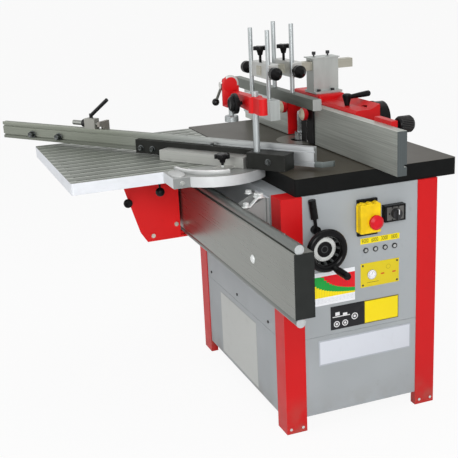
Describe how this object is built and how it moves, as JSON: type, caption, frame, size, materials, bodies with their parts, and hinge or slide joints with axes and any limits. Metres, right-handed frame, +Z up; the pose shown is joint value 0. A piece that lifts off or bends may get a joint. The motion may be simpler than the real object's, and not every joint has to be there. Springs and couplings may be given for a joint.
{
  "type": "spindle moulder",
  "caption": "Floor-standing spindle moulder with cast table, ring fence, top presser, height handwheel and a sliding table with swivelling mitre fence on a guide beam.",
  "frame": {"origin": "on the floor, under the middle of the machine's outline", "axes": "+X along the feed towards the control-panel end, +Y from the sliding table to the back, +Z up"},
  "size_m": [1.6385, 1.3143, 1.312],
  "materials": {
    "red_paint": "glossy red paint",
    "grey_panel": "smooth silver-grey paint",
    "cast_table": "ground cast iron",
    "steel": "bright turned steel",
    "chrome": "polished",
    "alu": "mill-finish extrusion",
    "light_alu": "bright satin",
    "ribbed_alu": "cast, ribbed",
    "black_plastic": "satin black",
    "black_steel": "black oxide",
    "yellow": "gloss yellow",
    "red_plastic": "gloss red",
    "label": "printed film",
    "fence_alu": "grey anodised",
    "rubber": "matt black"
  },
  "bodies": {
    "machine": {"corner_posts": "red_paint", "front_panel": "grey_panel", "control_panel": "grey_panel", "side_panels": "grey_panel", "fasteners": "steel", "table_top": "cast_table", "table_rings": "steel", "guide_beam": "alu", "beam_rods_and_caps": "steel", "beam_brackets": "grey_panel", "lift_columns": "steel", "switch_boxes": "black_plastic", "panel_plates": "label"},
    "lift": {"quill_carriage": "cast_table", "motor": "grey_panel", "drive_belt": "rubber"},
    "spindle": {"spindle_shaft": "steel", "arbor_rings": "steel", "spindle_pulley": "steel"},
    "motor_rotor": {"motor_pulley": "steel"},
    "handwheel_unit": {"handwheel": "black_plastic", "handwheel_shaft": "steel"},
    "crank": {"crank_handle": "black_plastic"},
    "height_lock": {"lock_lever": "black_plastic"},
    "lid": {"switch_lid": "yellow"},
    "stop_switch": {"stop_button": "red_plastic"},
    "selector": {"selector_knob": "black_plastic"},
    "slider": {"sliding_table": "ribbed_alu", "carriage_bracket": "red_paint", "mitre_segment": "light_alu"},
    "index": {"index_pin": "black_plastic"},
    "mitre": {"mitre_body": "alu", "mitre_fence": "alu", "clamp_strip": "black_steel", "clamp_post": "chrome"},
    "mitre_lock": {"mitre_knob": "black_plastic"},
    "length_stop": {"stop_body": "black_steel"},
    "stop_flap": {"stop_arm": "alu"},
    "clamp": {"clamp_arm": "red_paint"},
    "clamp_handle": {"clamp_lever": "steel"},
    "clamp_screw": {"clamp_knob": "black_plastic"},
    "clamp_pad": {"clamp_foot": "steel"},
    "hood": {"fence_hood": "red_paint", "dust_port": "black_plastic", "upright_box": "light_alu"},
    "left_plate": {"left_fence_plate": "fence_alu"},
    "right_plate": {"right_fence_plate": "fence_alu"},
    "adjuster": {"adjust_knob": "black_plastic"},
    "guard": {"cutter_guard": "black_plastic"},
    "guard_screw": {"guard_knob": "red_plastic"},
    "plate_screw": {"plate_knob": "red_plastic"},
    "hood_lock": {"hood_lever": "black_plastic"},
    "presser": {"presser_arm": "light_alu"},
    "back_press": {"back_presser": "fence_alu"},
    "front_press": {"front_presser": "light_alu"},
    "back_star": {"star_back": "black_plastic"},
    "front_star": {"star_front": "black_plastic"},
    "left_knob": {"knob_front_left": "black_plastic"},
    "right_knob": {"knob_front_right": "black_plastic"},
    "rear_knob": {"knob_back_right": "black_plastic"}
  },
  "joints": [
    {"name": "spindle_lift", "type": "slide", "parent": "machine", "child": "lift", "axis": [0, 0, 1], "range_m": [-0.09, 0.03]},
    {"name": "spindle_spin", "type": "hinge", "parent": "lift", "child": "spindle", "pos_m": [-0.145, 0.356, 0.9], "axis": [0, 0, 1], "continuous": true},
    {"name": "motor_spin", "type": "hinge", "parent": "lift", "child": "motor_rotor", "pos_m": [0.075, 0.356, 0.56], "axis": [0, 0, 1], "continuous": true},
    {"name": "handwheel_turn", "type": "hinge", "parent": "machine", "child": "handwheel_unit", "pos_m": [0.476, 0.125, 0.662], "axis": [1, 0, 0], "range_deg": [-220, 75]},
    {"name": "crank_spin", "type": "hinge", "parent": "handwheel_unit", "child": "crank", "pos_m": [0.555, 0.1425, 0.6067], "axis": [1, 0, 0], "continuous": true},
    {"name": "height_lock_turn", "type": "hinge", "parent": "machine", "child": "height_lock", "pos_m": [0.431, 0.128, 0.706], "axis": [1, 0, 0], "range_deg": [-25, 25]},
    {"name": "lid_open", "type": "hinge", "parent": "machine", "child": "lid", "pos_m": [0.4355, 0.274, 0.723], "axis": [0, 0, 1], "range_deg": [-90, 0]},
    {"name": "stop_press", "type": "slide", "parent": "lid", "child": "stop_switch", "axis": [-1, 0, 0], "range_m": [0, 0.003], "stiffness_N_per_m": 800, "springref_m": -0.001},
    {"name": "selector_turn", "type": "hinge", "parent": "machine", "child": "selector", "pos_m": [0.455, 0.41, 0.7245], "axis": [1, 0, 0], "range_deg": [-60, 60]},
    {"name": "table_slide", "type": "slide", "parent": "machine", "child": "slider", "axis": [1, 0, 0], "range_m": [-0.25, 0.7]},
    {"name": "index_pull", "type": "slide", "parent": "slider", "child": "index", "axis": [0, 0, 1], "range_m": [-0.015, 0], "stiffness_N_per_m": 300, "springref_m": 0.005},
    {"name": "mitre_swivel", "type": "hinge", "parent": "slider", "child": "mitre", "pos_m": [0.075, -0.074, 0.88], "axis": [0, 0, 1], "range_deg": [-20, 20]},
    {"name": "mitre_knob_turn", "type": "hinge", "parent": "mitre", "child": "mitre_lock", "pos_m": [0.16536, -0.07757, 0.9], "axis": [0, 0, 1], "range_deg": [-180, 180]},
    {"name": "stop_slide", "type": "slide", "parent": "mitre", "child": "length_stop", "axis": [0.809, 0.5878, 0], "range_m": [-0.25, 0.26]},
    {"name": "stop_flip", "type": "hinge", "parent": "length_stop", "child": "stop_flap", "pos_m": [-0.43501, -0.37409, 0.968], "axis": [0.809, 0.5878, 0], "range_deg": [0, 70]},
    {"name": "clamp_height", "type": "slide", "parent": "mitre", "child": "clamp", "axis": [0, 0, 1], "range_m": [-0.08, 0.01]},
    {"name": "pad_press", "type": "slide", "parent": "clamp", "child": "clamp_pad", "axis": [0, 0, 1], "range_m": [0, 0.0022]},
    {"name": "clamp_handle_turn", "type": "hinge", "parent": "clamp", "child": "clamp_handle", "pos_m": [-0.01461, -0.0009, 1.125], "axis": [0, 1, 0], "range_deg": [0, 70]},
    {"name": "clamp_screw_turn", "type": "hinge", "parent": "clamp", "child": "clamp_screw", "pos_m": [0.12739, -0.0104, 1.082], "axis": [0, 1, 0], "range_deg": [-180, 180]},
    {"name": "hood_slide", "type": "slide", "parent": "machine", "child": "hood", "axis": [0, 1, 0], "range_m": [0, 0.05]},
    {"name": "left_plate_slide", "type": "slide", "parent": "hood", "child": "left_plate", "axis": [1, 0, 0], "range_m": [0, 0.025]},
    {"name": "infeed_slide", "type": "slide", "parent": "hood", "child": "right_plate", "axis": [0, 1, 0], "range_m": [-0.008, 0]},
    {"name": "adjust_turn", "type": "hinge", "parent": "right_plate", "child": "adjuster", "pos_m": [0.455, 0.436, 1.016], "axis": [0, 1, 0], "range_deg": [-725, 5]},
    {"name": "guard_slide", "type": "slide", "parent": "hood", "child": "guard", "axis": [0, 0, 1], "range_m": [0, 0.06]},
    {"name": "guard_knob_turn", "type": "hinge", "parent": "hood", "child": "guard_screw", "pos_m": [-0.063, 0.331, 0.984], "axis": [0, 1, 0], "range_deg": [-180, 180]},
    {"name": "plate_knob_turn", "type": "hinge", "parent": "hood", "child": "plate_screw", "pos_m": [-0.257, 0.336, 0.984], "axis": [0, 1, 0], "range_deg": [-180, 180]},
    {"name": "hood_lever_turn", "type": "hinge", "parent": "hood", "child": "hood_lock", "pos_m": [0.11, 0.414, 1.05], "axis": [0, 0, 1], "range_deg": [-60, 60]},
    {"name": "presser_slide", "type": "slide", "parent": "hood", "child": "presser", "axis": [0, 1, 0], "range_m": [-0.02, 0.015]},
    {"name": "back_press_lift", "type": "slide", "parent": "presser", "child": "back_press", "axis": [0, 0, 1], "range_m": [-0.04, 0.04]},
    {"name": "front_press_lift", "type": "slide", "parent": "presser", "child": "front_press", "axis": [0, 0, 1], "range_m": [-0.04, 0.04]},
    {"name": "back_star_turn", "type": "hinge", "parent": "presser", "child": "back_star", "pos_m": [-0.11, 0.276, 1.225], "axis": [0, 0, 1], "range_deg": [-180, 180]},
    {"name": "front_star_turn", "type": "hinge", "parent": "presser", "child": "front_star", "pos_m": [-0.11, 0.185, 1.225], "axis": [0, 0, 1], "range_deg": [-180, 180]},
    {"name": "left_knob_turn", "type": "hinge", "parent": "presser", "child": "left_knob", "pos_m": [-0.235, 0.185, 1.15], "axis": [1, 0, 0], "range_deg": [-180, 180]},
    {"name": "right_knob_turn", "type": "hinge", "parent": "presser", "child": "right_knob", "pos_m": [0.015, 0.185, 1.15], "axis": [1, 0, 0], "range_deg": [-180, 180]},
    {"name": "rear_knob_turn", "type": "hinge", "parent": "presser", "child": "rear_knob", "pos_m": [0.015, 0.276, 1.15], "axis": [1, 0, 0], "range_deg": [-180, 180]}
  ],
  "couplings": [
    {"joint": "motor_spin", "follows": "spindle_spin", "ratio": 1},
    {"joint": "handwheel_turn", "follows": "spindle_lift", "rad_per_m": 41.667},
    {"joint": "clamp_handle_turn", "follows": "pad_press", "rad_per_m": 555.33},
    {"joint": "adjust_turn", "follows": "infeed_slide", "rad_per_m": 1570.8}
  ]
}
